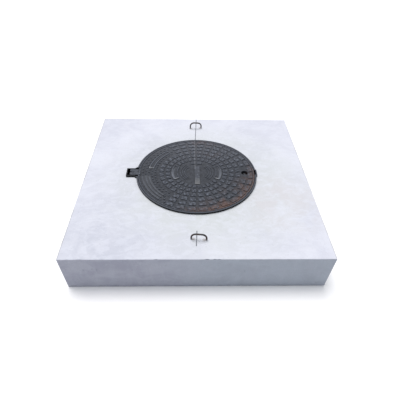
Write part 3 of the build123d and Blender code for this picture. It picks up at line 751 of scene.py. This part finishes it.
def floated_top(p, speckle):
    """Colour of the slab's top: bluish cement skin, greyer round the cover, with swirls of the float."""
    clouds = p.step(p.noise(3.4, 6, 0.62, 0.8), 0.36, 0.66)
    patches = p.noise(8.0, 6, 0.64, 0.6)
    swirl = p.noise(15.0, 4, 0.55, 1.4, place=p.stretch(1.0, 1.7, 1.0))
    colour = p.mix(clouds, tone(200, 202, 213), tone(212, 214, 223))
    handled = p.both(p.spot(0.06, -0.08, SLAB_TOP, 0.70), p.step(patches, 0.30, 0.54, 0.45, 1.0))
    colour = p.mix(handled, colour, tone(197, 201, 203))
    warm = p.both(p.spot(0.42, -0.24, SLAB_TOP, 0.30), p.step(patches, 0.36, 0.58))
    colour = p.mix(p.both(warm, 0.8), colour, tone(201, 200, 204))
    dull = p.both(p.spot(-0.52, -0.50, SLAB_TOP, 0.40), p.step(patches, 0.64, 0.36, 0.4, 1.0))
    colour = p.mix(dull, colour, tone(191, 194, 205))
    colour = p.mix(p.both(p.step(swirl, 0.44, 0.64), 0.35), colour, tone(214, 217, 227))
    return p.mix(p.both(p.step(speckle, 0.55, 0.72), 0.35), colour, tone(184, 186, 191))


def moulded_side(p, speckle):
    """Colour of the slab's sides: greyer, and darker as painted shade, with runs and patches left by the
    mould.
    """
    cloud = p.step(p.noise(9.0, 7, 0.68, 0.8, place=p.stretch(1.0, 1.0, 1.6)), 0.36, 0.66)
    runs = p.step(p.noise(30.0, 5, 0.62, 0.4, place=p.stretch(1.0, 1.0, 0.35)), 0.46, 0.66)
    damp = p.step(p.math("ADD", p.x, p.math("MULTIPLY", p.noise(5.0, 4), 0.5)), -0.1, 0.5)
    # The side tones are darker than the top's, partly because the moulded face is greyer and partly as
    # painted shade.
    dry = p.mix(cloud, tone(164, 166, 178), tone(152, 154, 168))
    colour = p.mix(damp, dry, p.mix(cloud, tone(161, 168, 179), tone(155, 161, 172)))
    colour = p.mix(p.both(runs, 0.25), colour, tone(171, 175, 186))
    colour = p.mix(p.both(p.step(speckle, 0.56, 0.70), 0.4), colour, tone(138, 141, 152))
    low_edge = p.step(p.z, 0.0, 0.022, 1.0, 0.0)
    stain = p.both(low_edge, p.step(p.noise(30.0), 0.4, 0.6), 0.5)
    return p.mix(stain, colour, tone(130, 132, 141))


def concrete():
    """Fair-faced concrete: floated on top, moulded at the sides."""
    p = Paint("concrete_fair_faced", [("Specular IOR Level", 0.25)])
    speckle = p.noise(130.0, 4, 0.7)
    sand = p.noise(620.0, 2, 0.6)
    on_top = p.step(p.z, SLAB_TOP - 0.0030, SLAB_TOP - 0.0008)
    colour = p.mix(on_top, moulded_side(p, speckle), floated_top(p, speckle))
    colour = p.mix(p.both(p.step(speckle, 0.40, 0.28), 0.30), colour, tone(222, 224, 230))
    pin_holes = p.both(p.step(p.dots(170.0), 0.16, 0.09), p.step(p.noise(40.0), 0.50, 0.58))
    colour = p.mix(p.both(pin_holes, 0.55), colour, tone(112, 114, 120))
    colour = p.mix(p.both(setting_out_lines(p), 0.9), colour, tone(84, 86, 94))
    edge = p.step(p.math("ABSOLUTE", p.x), HALF - 0.006, HALF - 0.002)
    near_top = p.step(p.z, SLAB_TOP - 0.010, SLAB_TOP - 0.003)
    grime = p.both(edge, near_top, p.step(p.noise(9.0, 5, 0.65), 0.40, 0.54))
    colour = p.mix(p.both(grime, 0.55), colour, tone(150, 150, 146))
    foot_rust = p.either(*[p.spot(x, y, SLAB_TOP, 0.013) for x, y in LEGS])
    colour = p.mix(p.both(foot_rust, 0.45), colour, tone(140, 126, 112))

    trowel = p.noise(26.0, 3, 0.5, 1.5, place=p.stretch(1.0, 3.2, 1.0))
    normal = p.bump(trowel, 0.0009)
    normal = p.bump(p.math("SUBTRACT", speckle, pin_holes), 0.0006, normal)
    normal = p.bump(sand, 0.00022, normal)
    return p.finish(colour, p.step(speckle, 0.3, 0.7, 0.80, 0.92), normal)


def spacer_mortar():
    """Fibre-reinforced mortar of the bar spacers."""
    p = Paint("spacer_mortar", [("Specular IOR Level", 0.2)])
    speckle = p.noise(240.0, 5, 0.7)
    fibres = p.noise(90.0, 3, 0.5, 3.0, place=p.stretch(1.0, 7.0, 1.0))
    colour = p.mix(speckle, tone(150, 150, 146), tone(190, 189, 184))
    colour = p.mix(p.both(p.step(fibres, 0.56, 0.66), 0.5), colour, tone(120, 121, 120))
    return p.finish(colour, p.step(speckle, 0.3, 0.7, 0.8, 0.95), p.bump(speckle, 0.0006))


# ---- Cast iron ----

WORN_ENDS = ((-0.250, 0.040, 0.019), (-0.106, -0.056, 0.016), (0.107, -0.055, 0.015))
CENTRE_PAD = (-0.010, 0.017, -0.104, -0.052)
CENTRE_BAR = (-0.010, 0.017, -0.052, 0.056)
# Painted shadow: a dark line along the right side of the centre pad and bar.
BAR_SHADOW_X = 0.0185
BAR_SHADOW_HALF_WIDTH = 0.0012
LOWER_ARCS = (-173.0, -131.0, 0.248, 0.298)
OUTER_PLATE = (126.0, 176.0, 0.222, 0.278)
# Painted highlights on the outer plate's border tops, and painted shade in lines along their feet:
# bearings in degrees, then radii.
OUTER_BORDER_HIGHLIGHTS = ((130.0, 172.0, 0.236, 0.241), (130.0, 172.0, 0.259, 0.264))
OUTER_BORDER_SHADE = ((130.0, 172.0, 0.243, 0.248), (130.0, 172.0, 0.266, 0.271))
INNER_PLATE_RING = (0.122, 0.138)
INNER_PLATE_SPREAD = 28.0
INNER_PLATE_SOFT = 2.0
FINE_COLUMNS = PIP_COLUMNS
FINE_PITCH = 2 * PIP_PITCH
COVER_LINE_X = -0.008
COVER_LINE_HALF_WIDTH = 0.0014
COVER_LINE_ENDS = (0.030, 0.315)


def casting_grain(p):
    """Normal of a sand-cast surface under a thin coat: sand grain with a few soft pits."""
    grain = p.noise(760.0, 3, 0.6)
    lumps = p.noise(120.0, 4, 0.6)
    pits = p.both(p.step(p.dots(150.0), 0.22, 0.10), p.step(p.noise(55.0), 0.52, 0.60))
    normal = p.bump(lumps, 0.0009)
    normal = p.bump(grain, 0.00035, normal)
    return p.bump(p.inverse(pits), 0.0005, normal)


def rust_mask(p, where, low, high):
    """Patches of rust where another mask lets them through."""
    patches = p.step(p.noise(16.0, 6, 0.68, 0.5), low, high)
    flecks = p.step(p.noise(95.0, 5, 0.7), 0.44, 0.60)
    return p.both(where, p.either(p.both(patches, 0.85), p.both(flecks, patches)))


def fine_shade_and_highlight(p):
    """Where painted shade and painted highlights fall on the studs: staggered, from -1 to 1, two cells to
    a column.
    """
    across = p.math("SINE", p.math("MULTIPLY", p.bearing(), FINE_COLUMNS))
    along = p.math("SINE", p.math("MULTIPLY", p.radius(), 2 * pi / FINE_PITCH))
    return p.math("MULTIPLY", across, along)


def soiled_and_shaded_studs(p, raised):
    """Colour of the stud pattern: bluish coat with painted shade in fine dark dots, painted highlights and
    small painted glints, lighter towards the back.
    """
    clouds = p.step(p.noise(7.0, 5, 0.6, 0.5), 0.34, 0.66)
    blotch = p.step(p.noise(62.0, 6, 0.68), 0.36, 0.66)
    field = p.mix(blotch, tone(39, 42, 49), tone(56, 60, 68))
    top = p.mix(blotch, tone(49, 53, 62), tone(72, 77, 87))
    colour = p.mix(p.both(raised, p.step(clouds, 0.0, 1.0, 0.62, 1.0)), field, top)
    plain = p.either(p.sector(*LOWER_ARCS), p.sector(*OUTER_PLATE))
    # The painted dot pattern is fainter towards the front right.
    fainter_front_right = p.step(p.math("SUBTRACT", p.x, p.y), 0.10, 0.38, 1.0, 0.6)
    on_studs = p.both(
        raised, p.inverse(plain), fainter_front_right,
        p.step(p.radius(), 0.100, 0.150), p.step(p.radius(), 0.300, 0.306, 1.0, 0.0),
    )
    # Painted shade and painted highlights in fine staggered dots, standing in for the studs' fine relief.
    shade_and_highlight_pattern = p.math("ADD", fine_shade_and_highlight(p), p.step(p.noise(48.0, 4), 0.30, 0.70, -0.45, 0.45))
    painted_shade_dots = p.both(on_studs, p.step(shade_and_highlight_pattern, -0.10, -0.70))
    colour = p.mix(p.both(painted_shade_dots, 0.62), colour, tone(30, 33, 40))
    # Painted highlights: the pale dots of the same pattern.
    light = p.both(on_studs, p.step(shade_and_highlight_pattern, 0.35, 0.95))
    colour = p.mix(p.both(light, 0.48), colour, tone(110, 117, 130))
    glints = p.both(p.step(p.noise(118.0, 3, 0.6), 0.58, 0.68), raised)
    colour = p.mix(p.both(glints, 0.50), colour, tone(124, 131, 144))
    back = p.step(p.y, -0.02, 0.30)
    return p.mix(p.both(back, 0.26), colour, tone(106, 108, 116))


def cover_rust(p, outside):
    """Mask of rust: the corner between lock and front, the rim's edge there, and a little at the back."""
    diagonal = p.math("SUBTRACT", p.x, p.y)
    corner = p.both(p.step(diagonal, 0.22, 0.46), outside)
    upper = p.both(p.spot(0.06, 0.27, IRON_TOP, 0.16), outside, 0.45)
    rim = p.both(p.step(p.radius(), 0.270, 0.300), p.step(diagonal, 0.16, 0.34), outside)
    flecks = p.step(p.noise(150.0, 5, 0.7), 0.46, 0.58)
    wide = p.either(rust_mask(p, corner, 0.44, 0.62), rust_mask(p, upper, 0.50, 0.66))
    return p.either(wide, p.both(rim, flecks))


def worn_and_shaded_plates(p, colour, outside, speck):
    """Paler arcs, where the coat is worn, painted highlights on the plate borders and painted shade along
    the outer plate's borders.
    """
    arcs = p.both(p.sector(*LOWER_ARCS), outside, p.step(speck, 0.34, 0.62, 0.3, 1.0))
    colour = p.mix(p.both(arcs, 0.40), colour, tone(88, 91, 97))
    # Painted shade along the feet of the outer plate's borders.
    for painted_shade in OUTER_BORDER_SHADE:
        colour = p.mix(p.both(p.sector(*painted_shade), outside, 0.55), colour, tone(30, 33, 40))
    # Painted highlights on the outer plate's border tops.
    for border_highlight in OUTER_BORDER_HIGHLIGHTS:
        colour = p.mix(p.both(p.sector(*border_highlight), outside, 0.40), colour, tone(112, 118, 130))
    spread, soft = radians(INNER_PLATE_SPREAD), radians(INNER_PLATE_SOFT)
    turned = p.math("ABSOLUTE", p.bearing())
    either_side = p.either(
        p.step(turned, pi - spread, pi - spread + soft),
        p.step(turned, spread, spread - soft),
    )
    inner, outer = INNER_PLATE_RING
    on_ring = p.both(
        p.step(p.radius(), inner, inner + 0.004),
        p.step(p.radius(), outer - 0.004, outer, 1.0, 0.0),
    )
    # Painted highlights on the inner plates' borders at left and right, stronger towards the front.
    inner_border_highlights = p.both(either_side, on_ring, p.step(p.y, 0.07, -0.03), outside)
    return p.mix(p.both(inner_border_highlights, 0.45), colour, tone(122, 127, 136))


def worn_and_shaded_middle(p, colour, outside, raised, speck):
    """The plates' bright ends, the bar and pad in the middle with a painted shadow along their right side,
    and the line drawn across the cover.
    """
    ends = p.either(*[p.spot(x, y, IRON_TOP, r) for x, y, r in WORN_ENDS])
    ends = p.both(ends, raised, p.step(speck, 0.30, 0.60, 0.55, 1.0))
    colour = p.mix(p.both(ends, 0.75), colour, tone(146, 148, 151))
    pad_wear = p.step(p.y, CENTRE_PAD[3], CENTRE_PAD[2], 0.35, 1.0)
    pad = p.both(p.window(*CENTRE_PAD), raised, pad_wear, p.step(speck, 0.34, 0.64, 0.45, 1.0))
    colour = p.mix(p.both(pad, 0.75), colour, tone(118, 119, 119))
    bar = p.both(p.window(*CENTRE_BAR), raised, p.step(speck, 0.34, 0.64, 0.4, 1.0))
    colour = p.mix(p.both(bar, 0.22), colour, tone(104, 108, 118))
    # Painted shadow along the right side of the pad and bar.
    painted_shade = p.stroke(p.x, BAR_SHADOW_X, BAR_SHADOW_HALF_WIDTH, p.y, CENTRE_PAD[2], CENTRE_BAR[3])
    colour = p.mix(p.both(painted_shade, outside, 0.7), colour, tone(34, 36, 42))
    line = p.stroke(p.x, COVER_LINE_X, COVER_LINE_HALF_WIDTH, p.y, *COVER_LINE_ENDS)
    return p.mix(p.both(line, outside, 0.30), colour, tone(170, 172, 178))


def cover_iron():
    """The cover's coated cast iron: worn, soiled and painted with shade and highlights on top, darker and
    rustier below.
    """
    p = Paint("cover_iron", [("Specular IOR Level", 0.38)])
    outside = p.step(p.z, FIELD_LEVEL - 0.006, FIELD_LEVEL - 0.002)
    raised = p.step(p.z, FIELD_LEVEL + 0.0004, IRON_TOP - 0.0006)
    speck = p.noise(210.0, 4, 0.7)

    colour = soiled_and_shaded_studs(p, raised)
    colour = worn_and_shaded_plates(p, colour, outside, speck)
    rust = cover_rust(p, outside)
    colour = p.mix(p.both(rust, 0.6), colour, tone(112, 82, 66))
    colour = worn_and_shaded_middle(p, colour, outside, raised, speck)
    below = p.inverse(outside)
    colour = p.mix(p.both(below, 0.6), colour, tone(38, 39, 42))
    colour = p.mix(p.both(rust_mask(p, below, 0.50, 0.66), 0.6), colour, tone(98, 66, 48))
    rough = p.step(p.math("ADD", speck, p.both(rust, 0.35)), 0.30, 0.75, 0.54, 0.84)
    return p.finish(colour, rough, casting_grain(p))


def frame_iron():
    """The frame's cast iron: nearly black, its dark coat made darker still as painted shade for its shaded
    sides and the gap round the cover; paler on its worn top edge, with cement splashes low down.
    """
    p = Paint("frame_iron", [("Specular IOR Level", 0.28)])
    blotch = p.step(p.noise(52.0, 6, 0.66), 0.36, 0.66)
    speck = p.noise(230.0, 4, 0.7)
    top = p.step(p.z, IRON_TOP - 0.0016, IRON_TOP - 0.0004)
    # Near-black base: the iron's dark coat, darkened further as painted shade for the shaded sides and the
    # gap round the cover.
    colour = p.mix(blotch, tone(7, 8, 10), tone(15, 16, 19))
    at_rim = p.step(p.x, -RIM_OUTER - 0.004, -RIM_OUTER + 0.004, 0.25, 1.0)
    colour = p.mix(p.both(top, at_rim, p.step(speck, 0.3, 0.6, 0.6, 1.0)), colour, tone(70, 74, 83))
    low = p.step(p.z, SLAB_TOP + 0.006, SLAB_TOP)
    splash = p.both(p.step(p.noise(38.0, 5, 0.7), 0.62, 0.70), low)
    colour = p.mix(p.both(splash, 0.5), colour, tone(168, 170, 174))
    rust = rust_mask(p, p.step(p.z, IRON_TOP - 0.05, IRON_TOP - 0.09), 0.50, 0.66)
    colour = p.mix(p.both(rust, 0.6), colour, tone(96, 64, 46))
    rough = p.step(speck, 0.30, 0.75, 0.48, 0.80)
    return p.finish(colour, rough, casting_grain(p))


# ---- Steel, bronze, rubber and plastic ----

def loop_steel():
    """Rolled bar with mill scale and a little rust, and cement on its feet."""
    p = Paint("loop_steel", [("Specular IOR Level", 0.45)])
    scale = p.noise(260.0, 5, 0.7)
    patches = p.step(p.noise(60.0, 5, 0.65), 0.48, 0.62)
    colour = p.mix(scale, tone(30, 29, 31), tone(62, 60, 62))
    colour = p.mix(p.both(patches, 0.6), colour, tone(88, 66, 54))
    foot = p.step(p.z, SLAB_TOP + 0.002, SLAB_TOP + 0.009, 1.0, 0.0)
    cement = p.both(foot, p.step(scale, 0.38, 0.58))
    colour = p.mix(cement, colour, tone(176, 176, 178))
    normal = p.bump(scale, 0.0005, p.bump(p.noise(70.0), 0.0008))
    return p.finish(colour, p.step(patches, 0.0, 1.0, 0.45, 0.8), normal)


def reinforcing_steel():
    """Ribbed bar under light rust."""
    p = Paint("reinforcing_steel", [("Specular IOR Level", 0.4)])
    scale = p.noise(180.0, 5, 0.7)
    ribs = p.add("ShaderNodeTexWave", {
        "Vector": p.place, "Scale": 42.0, "Distortion": 0.6, "Detail": 2.0,
    }, bands_direction="DIAGONAL").outputs["Fac"]
    colour = p.mix(scale, tone(84, 60, 48), tone(132, 92, 66))
    colour = p.mix(p.step(p.noise(30.0, 5), 0.5, 0.65), colour, tone(70, 68, 70))
    return p.finish(colour, p.step(scale, 0.3, 0.7, 0.6, 0.9), p.bump(ribs, 0.0012, p.bump(scale, 0.0004)))


def elastomer():
    """Black rubber with dust."""
    p = Paint("gasket_elastomer", [("Specular IOR Level", 0.35)])
    grain = p.noise(800.0, 3, 0.6)
    dust = p.step(p.noise(46.0, 6, 0.7), 0.50, 0.68)
    colour = p.mix(grain, tone(22, 22, 24), tone(40, 40, 42))
    colour = p.mix(p.both(dust, 0.35), colour, tone(120, 118, 112))
    return p.finish(colour, p.step(dust, 0.0, 1.0, 0.55, 0.85), p.bump(grain, 0.0003))


def nylon():
    """Pale nylon with grime."""
    p = Paint("washer_nylon", [("Specular IOR Level", 0.45)])
    grain = p.noise(500.0, 3, 0.6)
    grime = p.step(p.noise(70.0, 5), 0.45, 0.65)
    colour = p.mix(grain, tone(206, 203, 190), tone(220, 217, 206))
    colour = p.mix(p.both(grime, 0.4), colour, tone(150, 146, 132))
    return p.finish(colour, p.step(grain, 0.3, 0.7, 0.42, 0.6), p.bump(grain, 0.0002))


# Below this level the lock's steel is painted near black as shade in the keyhole.
KEYHOLE_SHADE_LEVEL = FIELD_LEVEL - 0.0165


def lock_steel():
    """Brushed stainless steel. The head that shows in the keyhole is painted near black as shade, matt and
    not metallic.
    """
    p = Paint("lock_stainless", [("Specular IOR Level", 0.5)])
    brushed = p.noise(240.0, 4, 0.6, place=p.stretch(1.0, 1.0, 9.0))
    smears = p.step(p.noise(50.0, 5, 0.65), 0.48, 0.66)
    colour = p.mix(brushed, tone(150, 151, 152), tone(190, 190, 190))
    colour = p.mix(p.both(smears, 0.5), colour, tone(104, 98, 90))
    # Painted shade: the head low in the keyhole is near black, matt and not metallic.
    in_keyhole = p.step(p.z, KEYHOLE_SHADE_LEVEL - 0.004, KEYHOLE_SHADE_LEVEL)
    painted_shade = p.both(in_keyhole, p.step(brushed, 0.2, 0.5, 0.8, 1.0))
    colour = p.mix(painted_shade, colour, tone(24, 24, 26))
    metal = p.both(p.step(smears, 0.0, 1.0, 1.0, 0.45), p.inverse(painted_shade))
    rough = p.either(p.step(brushed, 0.3, 0.7, 0.26, 0.46), p.both(painted_shade, 0.85))
    return p.finish(colour, rough, p.bump(brushed, 0.0002), metal)


def bronze():
    """Turned bronze, tarnished in patches."""
    p = Paint("lock_bronze", [("Specular IOR Level", 0.5)])
    turned = p.noise(600.0, 3, 0.6, place=p.stretch(1.0, 1.0, 6.0))
    tarnish = p.step(p.noise(80.0, 5, 0.65), 0.44, 0.64)
    colour = p.mix(turned, tone(186, 140, 78), tone(206, 164, 102))
    colour = p.mix(p.both(tarnish, 0.5), colour, tone(108, 82, 54))
    metal = p.step(tarnish, 0.0, 1.0, 1.0, 0.6)
    return p.finish(colour, p.step(turned, 0.3, 0.7, 0.3, 0.5), p.bump(turned, 0.0002), metal)


FINISHES = {
    "concrete": concrete(),
    "reinforcing_steel": reinforcing_steel(),
    "loop_steel": loop_steel(),
    "frame_iron": frame_iron(),
    "cover_iron": cover_iron(),
    "elastomer": elastomer(),
    "plastic": nylon(),
    "spacer_mortar": spacer_mortar(),
    "lock_steel": lock_steel(),
    "lock_bronze": bronze(),
}


def dress_nodes():
    """Gives every CAD node the finish of its material slot."""
    for row in frame["record"]["subparts"]:
        data = frame["nodes"][row["node"]].data
        data.materials.clear()
        data.materials.append(FINISHES[row["material_slot"]])


# ---- Stage, lights and camera ----

FLOOR_RADIUS = 80.0
FLOOR_SIDES = 96
FLOOR_DROP = 0.0005
SKY_COLOUR = (0.90, 0.94, 1.0, 1.0)
SKY_STRENGTH = 0.55
KEY_FROM = (-0.45, 0.75, 2.6)
KEY_STRENGTH = 2.68
KEY_SPREAD = 40.0
KEY_COLOUR = (1.0, 0.97, 0.955)


def make_floor():
    """A plain pale floor, wide enough to pass behind the part from any side."""
    p = Paint("studio_floor", [("Specular IOR Level", 0.0)])
    cloud = p.noise(0.8, 3)
    colour = p.mix(cloud, tone(250, 250, 251), tone(254, 254, 254))
    floor_paint = p.finish(colour, 0.95, p.bump(cloud, 0.0001))
    mesh = bpy.data.meshes.new("floor")
    turns = [2 * pi * k / FLOOR_SIDES for k in range(FLOOR_SIDES)]
    corners = [(FLOOR_RADIUS * cos(turn), FLOOR_RADIUS * sin(turn), -FLOOR_DROP) for turn in turns]
    mesh.from_pydata(corners, [], [range(FLOOR_SIDES)])
    mesh.materials.append(floor_paint)
    floor = bpy.data.objects.new("floor", mesh)
    bpy.context.scene.collection.objects.link(floor)


def make_lights():
    """A pale sky all round and one wide, soft light from above, behind and left."""
    world = bpy.data.worlds.new("studio")
    world.use_nodes = True
    background = world.node_tree.nodes["Background"]
    background.inputs["Color"].default_value = SKY_COLOUR
    background.inputs["Strength"].default_value = SKY_STRENGTH
    bpy.context.scene.world = world
    data = bpy.data.lights.new("key", "SUN")
    data.energy = KEY_STRENGTH
    data.angle = radians(KEY_SPREAD)
    data.color = KEY_COLOUR
    light = bpy.data.objects.new("key", data)
    light.rotation_euler = (-Vector(KEY_FROM)).to_track_quat("-Z", "Y").to_euler()
    bpy.context.scene.collection.objects.link(light)


CAMERA_PLACE = (-0.0348, -1.4913, 1.1095 + SLAB_TOP)
CAMERA_PITCH = 47.22
CAMERA_YAW = -2.46
CAMERA_ROLL = 1.74
FOCAL_SHARE = 0.835
CAMERA_SHIFT = 0.0905
SENSOR = 36.0


def make_camera():
    """Looks down at the slab's front. The focal length is FOCAL_SHARE of the image's width."""
    pitch, yaw, roll = radians(CAMERA_PITCH), radians(CAMERA_YAW), radians(CAMERA_ROLL)
    level_right = Vector((cos(yaw), sin(yaw), 0.0))
    ahead = Vector((-sin(yaw), cos(yaw), 0.0))
    above = Vector((0.0, 0.0, 1.0))
    forward = cos(pitch) * ahead - sin(pitch) * above
    level_up = sin(pitch) * ahead + cos(pitch) * above
    right = cos(roll) * level_right + sin(roll) * level_up
    up = -sin(roll) * level_right + cos(roll) * level_up
    data = bpy.data.cameras.new("camera")
    data.sensor_width = SENSOR
    data.lens = FOCAL_SHARE * SENSOR
    data.shift_y = CAMERA_SHIFT
    camera = bpy.data.objects.new("camera", data)
    turn = Matrix((right, up, -forward)).transposed().to_4x4()
    camera.matrix_world = Matrix.Translation(CAMERA_PLACE) @ turn
    bpy.context.scene.collection.objects.link(camera)
    bpy.context.scene.camera = camera


dress_nodes()
slab_skin(FINISHES["concrete"])
cover_pips(FINISHES["cover_iron"])
make_floor()
make_lights()
make_camera()
bpy.context.scene.view_settings.view_transform = "Standard"
